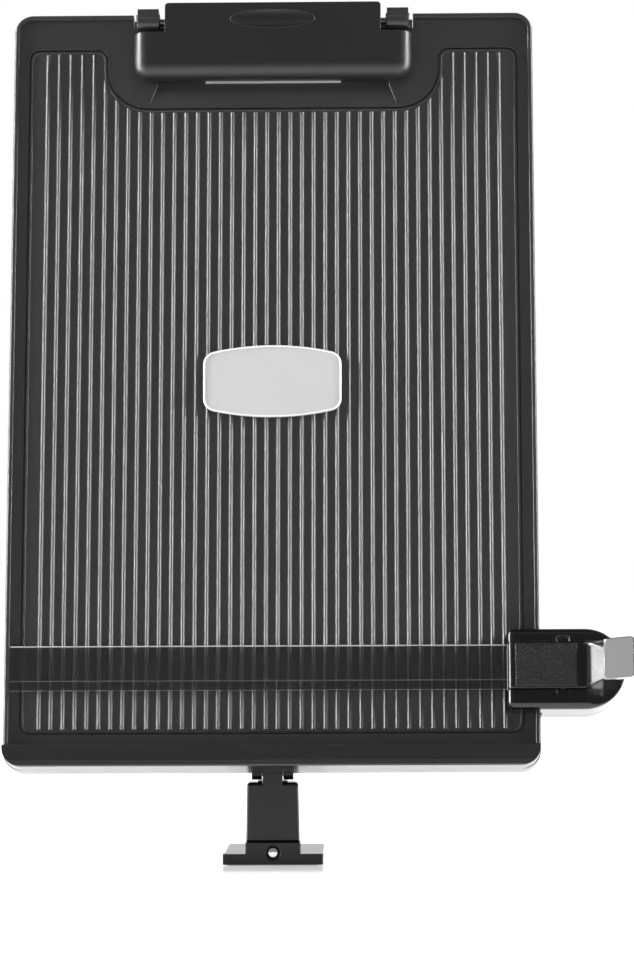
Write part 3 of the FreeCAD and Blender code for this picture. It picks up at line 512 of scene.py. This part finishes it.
def soft_stuff(name, shade, furrow_shade, cells_per_metre, depth, rough):
    """Dull soft material with leather-like islands of the given size and depth; its furrows take a darker
    grey, which is painted shade.
    """
    material, tree, shader = new_material(name)
    place = tree.nodes.new("ShaderNodeTexCoord")
    islands = tree.nodes.new("ShaderNodeTexVoronoi")
    islands.feature = "SMOOTH_F1"
    islands.inputs["Scale"].default_value = cells_per_metre
    warp = tree.nodes.new("ShaderNodeTexNoise")
    warp.inputs["Scale"].default_value = cells_per_metre * warp_share
    raised = range_node(tree.nodes, furrow_edge, island_edge, 1.0, 0.0)
    edges = group_node(tree, soft_corners, Radius=soft_corner)
    tree.links.new(place.outputs["Object"], warp.inputs["Vector"])
    tree.links.new(place.outputs["Object"], islands.inputs["Vector"])
    tree.links.new(islands.outputs["Distance"], raised.inputs["Value"])
    height = raised.outputs["Result"]
    grained = bumped(tree, height, depth, island_strength, edges.outputs["Normal"])
    tree.links.new(grained, shader.inputs["Normal"])
    # Painted shade: the furrows between the islands take the darker grey.
    tree.links.new(colour_mix(tree, height, furrow_shade, shade), shader.inputs["Base Color"])
    roughness = span(tree, warp.outputs["Fac"], rough - rough_spread, rough + rough_spread)
    tree.links.new(roughness, shader.inputs["Roughness"])
    print(name, "has", round(1000 / cells_per_metre, 2), "mm cells")
    return material


grained_rubber = soft_stuff(
    "grained_rubber", shade=0.010, furrow_shade=0.002, cells_per_metre=1700.0, depth=0.00028, rough=0.36
)
soft_rubber = soft_stuff(
    "soft_rubber", shade=0.02, furrow_shade=0.015, cells_per_metre=3000.0, depth=0.00004, rough=0.7
)
pale_vinyl = soft_stuff(
    "pale_vinyl", shade=0.34, furrow_shade=0.3, cells_per_metre=2000.0, depth=0.00003, rough=0.45
)
washer_fibre = soft_stuff(
    "washer_fibre", shade=0.3, furrow_shade=0.18, cells_per_metre=2600.0, depth=0.00008, rough=0.8
)


# %% [markdown]
# ## Metals
#
# A metal's look is its reflection, so the detail is in the roughness. The finger tail is
# bright plating, smooth with faint smears, and its rounded rim mirrors the dark room, so it
# is toned down there. The screws, pins and springs are zinc-plated steel, with fine
# drawn-out marks.

# %% Make the metals
smear_share = 0.86


def plated(name, tint, rough, lines_per_metre, depth, corner, edge_grey):
    """Metal with drawn-out marks, its corners rounded by corner metres and toned edge_grey."""
    material, tree, shader = new_material(name)
    shader.inputs["Metallic"].default_value = 1.0
    place = tree.nodes.new("ShaderNodeTexCoord")
    squeeze = tree.nodes.new("ShaderNodeMapping")
    squeeze.inputs["Scale"].default_value = (0.06, 1.0, 1.0)
    lines = tree.nodes.new("ShaderNodeTexNoise")
    lines.inputs["Scale"].default_value = lines_per_metre
    lines.inputs["Detail"].default_value = 5.0
    edges = group_node(tree, soft_corners, Radius=corner)
    wipes = group_node(tree, wiped, Streaks_per_metre=120.0)
    tree.links.new(place.outputs["Object"], squeeze.inputs["Vector"])
    tree.links.new(squeeze.outputs["Vector"], lines.inputs["Vector"])
    marked = bumped(tree, lines.outputs["Fac"], depth, 1.0, edges.outputs["Normal"])
    tree.links.new(marked, shader.inputs["Normal"])
    darker = tuple(value * smear_share for value in tint)
    smeared = colour_mix(tree, wipes.outputs["Streak"], tint, darker)
    edged = colour_mix(tree, edges.outputs["Edge"], smeared, edge_grey)
    tree.links.new(edged, shader.inputs["Base Color"])
    tree.links.new(span(tree, wipes.outputs["Streak"], *rough), shader.inputs["Roughness"])
    print(name, "has marks", round(1000 / lines_per_metre, 2), "mm wide")
    return material


bright_chrome = plated(
    "bright_chrome", tint=(0.74, 0.74, 0.75), rough=(0.06, 0.16),
    lines_per_metre=900.0, depth=0.000004, corner=0.0008, edge_grey=0.05,
)
zinc_steel = plated(
    "zinc_steel", tint=(0.15, 0.153, 0.156), rough=(0.3, 0.42),
    lines_per_metre=2500.0, depth=0.00001, corner=0.0003, edge_grey=0.15,
)


# %% [markdown]
# ## The bare label
#
# The plate on the panel is pale satin aluminium-coloured plastic. It stays bare. A very
# fine rolled grain runs along it, and its rim is rounded, with a paler colour there that
# is a painted highlight.

# %% Make the label's finish
label_grey, label_tree, label_shader = new_material("label_grey")
label_place = label_tree.nodes.new("ShaderNodeTexCoord")
label_stretch = label_tree.nodes.new("ShaderNodeMapping")
label_stretch.inputs["Scale"].default_value = (0.03, 1.0, 1.0)
label_lines = label_tree.nodes.new("ShaderNodeTexNoise")
label_lines.inputs["Scale"].default_value = 3000.0
label_edges = group_node(label_tree, soft_corners, Radius=0.0005)
label_tree.links.new(label_place.outputs["Object"], label_stretch.inputs["Vector"])
label_tree.links.new(label_stretch.outputs["Vector"], label_lines.inputs["Vector"])
label_rolled = bumped(label_tree, label_lines.outputs["Fac"], 0.00001, 0.4, label_edges.outputs["Normal"])
label_tree.links.new(label_rolled, label_shader.inputs["Normal"])
# Painted highlight: the rim's colour goes up to 0.85 where the soft corners' mask is high.
label_colour = colour_mix(label_tree, label_edges.outputs["Edge"], (0.47, 0.47, 0.475), 0.85)
label_tree.links.new(label_colour, label_shader.inputs["Base Color"])
label_rough = span(label_tree, label_lines.outputs["Fac"], 0.35, 0.5)
label_tree.links.new(label_rough, label_shader.inputs["Roughness"])
print("The label's finish has", len(label_tree.nodes), "nodes")


# %% [markdown]
# ## The clear guide
#
# The guide is a strip of smoked clear plastic. It darkens the ribs behind it and mirrors
# the room a little. Its sawn edges gather light, so a mask made from the surface's direction
# makes them paler and less clear than the two faces.

# %% Make the smoked plastic
still_a_face = 0.9
surely_an_edge = 0.6

smoked_clear, smoked_tree, smoked_shader = new_material("smoked_clear")
smoked_shader.inputs["IOR"].default_value = plastic_ior
smoked_wipes = group_node(smoked_tree, wiped, Streaks_per_metre=40.0)
smoked_way = smoked_tree.nodes.new("ShaderNodeNewGeometry")
smoked_front = smoked_tree.nodes.new("ShaderNodeVectorMath")
smoked_front.operation = "DOT_PRODUCT"
smoked_front.inputs[1].default_value = board_front
smoked_facing = math_node(smoked_tree.nodes, "ABSOLUTE")
smoked_cut = range_node(smoked_tree.nodes, still_a_face, surely_an_edge)
smoked_tree.links.new(smoked_way.outputs["Normal"], smoked_front.inputs[0])
smoked_tree.links.new(smoked_front.outputs["Value"], smoked_facing.inputs[0])
smoked_tree.links.new(smoked_facing.outputs[0], smoked_cut.inputs["Value"])
smoked_edge = smoked_cut.outputs["Result"]
smoked_colour = colour_mix(smoked_tree, smoked_edge, (0.02, 0.02, 0.021), 0.5)
smoked_rough = span(smoked_tree, smoked_wipes.outputs["Streak"], 0.03, 0.1)
smoked_tree.links.new(smoked_colour, smoked_shader.inputs["Base Color"])
smoked_tree.links.new(smoked_rough, smoked_shader.inputs["Roughness"])
smoked_tree.links.new(span(smoked_tree, smoked_edge, 0.5, 0.9), smoked_shader.inputs["Alpha"])
print("The smoked plastic has", len(smoked_tree.nodes), "nodes")


# %% [markdown]
# ## Dress the frame's pieces
#
# Every piece of the frame takes the finish that the record names for it, so the list of
# finishes is written once and the record does the rest. Only the ledge, though it is moulded
# with the board, takes a darker copy of the board's black: painted shade.

# %% Give each piece its finish
finishes = {
    "board_black": board_black,
    "panel_black": panel_black,
    "clip_black": clip_black,
    "slider_gloss": slider_gloss,
    "grained_rubber": grained_rubber,
    "soft_rubber": soft_rubber,
    "smoked_clear": smoked_clear,
    "label_grey": label_grey,
    "pale_vinyl": pale_vinyl,
    "bright_chrome": bright_chrome,
    "zinc_steel": zinc_steel,
    "washer_fibre": washer_fibre,
    "stand_black": stand_black,
}
own_finishes = {"paper_ledge": ledge_shaded_black}
for subpart in frame["record"]["subparts"]:
    node = frame["nodes"][subpart["node"]]
    finish = own_finishes.get(subpart["node"], finishes[subpart["material_slot"]])
    if not node.material_slots:
        node.data.materials.append(finish)
    for material_slot in node.material_slots:
        material_slot.material = finish


# %% [markdown]
# ## Rims round the panel, the label and the finger dish
#
# On the real board a fine raised rim runs round the ribbed panel, round the label and round
# the dish in the clip, and catches the light as a thin pale line. Each rim is a curve laid
# along its path on the board, given a small round section and then made a mesh. The label's
# rim is also coloured almost white, a painted highlight; the other two take the black of
# their parts. The paths are worked out in the board's own directions, so they lean back
# with it.

# %% Functions: a rim along a path
# The middle of the board's lower edge, on its front face.
board_foot = Vector((0.0, -0.038196, 0.041076))


def board_point(across, rise, forward):
    """World place of a point given along the board's width, up it, and out of its face."""
    return board_foot + Vector((across, 0.0, 0.0)) + board_up * rise + board_front * forward


def face_level(node, top_rise):
    """How far out a node's front face lies, from its box's top and the rise of its top edge."""
    top = Vector(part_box(node)[1])
    return (top.z - board_foot.z - top_rise * math.cos(board_lean)) / math.sin(board_lean)


def rounded_path(corners, steps=8):
    """Points (across, rise) of a closed outline whose corners carry a radius each."""
    points = []
    for index, (across, rise, radius) in enumerate(corners):
        here = Vector((across, rise))
        if radius <= 0:
            points.append(here)
            continue
        before = (Vector(corners[index - 1][:2]) - here).normalized()
        after = (Vector(corners[(index + 1) % len(corners)][:2]) - here).normalized()
        half = before.angle(after) / 2
        start = here + before * radius / math.tan(half)
        middle = here + (before + after).normalized() * radius / math.sin(half)
        sweep = math.pi - 2 * half
        turn = math.copysign(sweep, (-before).cross(after)) / steps
        spoke = start - middle
        for step in range(steps + 1):
            angle = turn * step
            points.append(middle + Vector((
                spoke.x * math.cos(angle) - spoke.y * math.sin(angle),
                spoke.x * math.sin(angle) + spoke.y * math.cos(angle),
            )))
    return points


def rim(name, points, forward, radius, finish, body):
    """Bead of the given radius along points (across, rise) at one distance from the face."""
    line = bpy.data.curves.new(name, "CURVE")
    line.dimensions = "3D"
    spline = line.splines.new("POLY")
    spline.points.add(len(points) - 1)
    for corner, point in zip(spline.points, points):
        corner.co = (*board_point(point[0], point[1], forward), 1.0)
    spline.use_cyclic_u = True
    line.bevel_depth = radius
    line.bevel_resolution = 2
    bead = bpy.data.objects.new(name, line)
    bpy.context.collection.objects.link(bead)
    bpy.ops.object.select_all(action="DESELECT")
    bead.select_set(True)
    bpy.context.view_layer.objects.active = bead
    bpy.ops.object.convert(target="MESH")
    bead = bpy.context.active_object
    bpy.ops.object.shade_smooth()
    bead.data.materials.append(finish)
    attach(bead, body)
    print(name, "runs through", len(points), "points")


# %% [markdown]
# The panel is a tall rectangle with a wide notch for the clip cut out of its top. The
# notch's lower corners are swept in a broad curve, and all its other corners are small. The
# rim lies just inside the panel's edge.

# %% Lay the panel's rim
panel_half_width = 0.105
panel_low = 0.0156
panel_high = 0.3157
notch_half_width = 0.072
notch_floor = 0.289
rim_inset = 0.0008
small_corner = 0.0035
notch_sweep = 0.0188

side = panel_half_width - rim_inset
low = panel_low + rim_inset
high = panel_high - rim_inset
cut = notch_half_width + rim_inset
sill = notch_floor - rim_inset
panel_path = rounded_path([
    (-side, low, small_corner),
    (side, low, small_corner),
    (side, high, small_corner),
    (cut, high, small_corner),
    (cut, sill, notch_sweep),
    (-cut, sill, notch_sweep),
    (-cut, high, small_corner),
    (-side, high, small_corner),
])
rim("panel_rim", panel_path, -0.00015, 0.0004, board_black, "board")


# %% [markdown]
# The label is shaped like a barrel on its side: two shallow arcs above and below, joined by
# short straight ends with round corners. Each arc is a run of points on a wide circle, and
# the lower one is the upper one turned half round.

# %% Lay the label's rim
label_middle = 0.167
label_top_rise = label_middle + 0.0158
label_half_width = 0.0290
label_half_height = 0.0153
arch_radius = 0.115
arch_pitch = 0.003
arch_steps = 7
label_corner = 0.005


def arch_rise(across):
    """Height of the label's upper arc over the label's middle."""
    return label_half_height - arch_radius + math.sqrt(arch_radius**2 - across**2)


arch = [(arch_pitch * step, arch_rise(arch_pitch * step)) for step in range(-arch_steps, arch_steps + 1)]
shoulder = arch_rise(label_half_width)
label_corners = []
for way in (1, -1):
    for across, rise in arch:
        label_corners.append((way * across, label_middle + way * rise, 0.0))
    for end in (shoulder, -shoulder):
        label_corners.append((way * label_half_width, label_middle + way * end, label_corner))
label_level = face_level("label_plate", label_top_rise)
# Painted highlight: the label's rim is a near-white bead standing in for the light that it catches.
label_rim_highlight = soft_stuff(
    "label_rim_highlight", shade=0.8, furrow_shade=0.7, cells_per_metre=2000.0, depth=0.00001, rough=0.35
)
label_path = rounded_path(label_corners)
rim("label_rim", label_path, label_level, 0.0003, label_rim_highlight, "board")
print("The label's face stands", round(1000 * label_level, 2), "mm out")


# %% [markdown]
# The finger dish is a long shallow bowl in the thumb plate. Its outline is an ellipse that
# is filled out a little towards its ends, which a power of the cosine under 1 gives.

# %% Lay the dish's rim
thumb_top_rise = 0.3343
dish_rise = 0.327
dish_half_length = 0.0183
dish_half_height = 0.0042
dish_power = 0.8
dish_steps = 64

dish_path = []
for step in range(dish_steps):
    angle = math.tau * step / dish_steps
    along = math.copysign(abs(math.cos(angle)) ** dish_power, math.cos(angle))
    dish_path.append((dish_half_length * along, dish_rise + dish_half_height * math.sin(angle)))
clip_level = face_level("clip_flap", thumb_top_rise)
rim("dish_rim", dish_path, clip_level, 0.00022, clip_black, "clip")
print("The clip's face stands", round(1000 * clip_level, 2), "mm out")


# %% [markdown]
# ## The guide's bright edge and its line
#
# The guide's top edge is cut at a slant, which turns it towards the light, and a fine line
# is scribed along it four millimetres above its lower edge to read along. Both are slim
# strips lying on the guide's face; the edge's strip is pale, a painted highlight. Each
# starts as a cube at its place in the board's own directions, and its edges are then
# bevelled off.

# %% Add the bright edge and the line
guide_thickness = 0.0008
guide_height = 0.019
edge_inset = 0.0003
line_rise = 0.004
left_margin = 0.0004
slider_margin = 0.0002
bevel_share = 0.8
guide_low = Vector(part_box("line_guide")[0])
slider_low = Vector(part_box("slider_front")[0])
guide_foot = Vector((0.0, guide_low.y, guide_low.z + guide_thickness * math.sin(board_lean)))


def guide_strip(name, rise, tall, proud, finish):
    """Slim bevelled strip along the guide's face, its middle at the given rise."""
    left = guide_low.x + left_margin
    right = slider_low.x - slider_margin
    middle = guide_foot + board_up * rise
    bpy.ops.object.select_all(action="DESELECT")
    bpy.ops.mesh.primitive_cube_add(
        size=1.0,
        location=((left + right) / 2, middle.y, middle.z),
        rotation=(-board_lean, 0.0, 0.0),
        scale=(right - left, 2 * proud, tall),
    )
    strip = bpy.context.active_object
    strip.name = name
    bpy.ops.object.transform_apply(location=True, rotation=True, scale=True)
    bevel = strip.modifiers.new("bevel", "BEVEL")
    bevel.width = proud * bevel_share
    bevel.segments = 2
    bpy.ops.object.modifier_apply(modifier="bevel")
    strip.data.materials.append(finish)
    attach(strip, "slider")
    print(name, "is", round(1000 * (right - left), 1), "mm long")


# Painted highlight: a pale strip stands for the light on the slanted top edge.
painted_edge_highlight = soft_stuff(
    "painted_edge_highlight", shade=0.42, furrow_shade=0.34, cells_per_metre=3000.0, depth=0.00001, rough=0.3
)
scribed_line = soft_stuff(
    "scribed_line", shade=0.07, furrow_shade=0.05, cells_per_metre=3000.0, depth=0.00001, rough=0.4
)
guide_strip("guide_top_highlight", guide_height - edge_inset, tall=0.0005, proud=0.00012, finish=painted_edge_highlight)
guide_strip("guide_line", line_rise, tall=0.0004, proud=0.00005, finish=scribed_line)
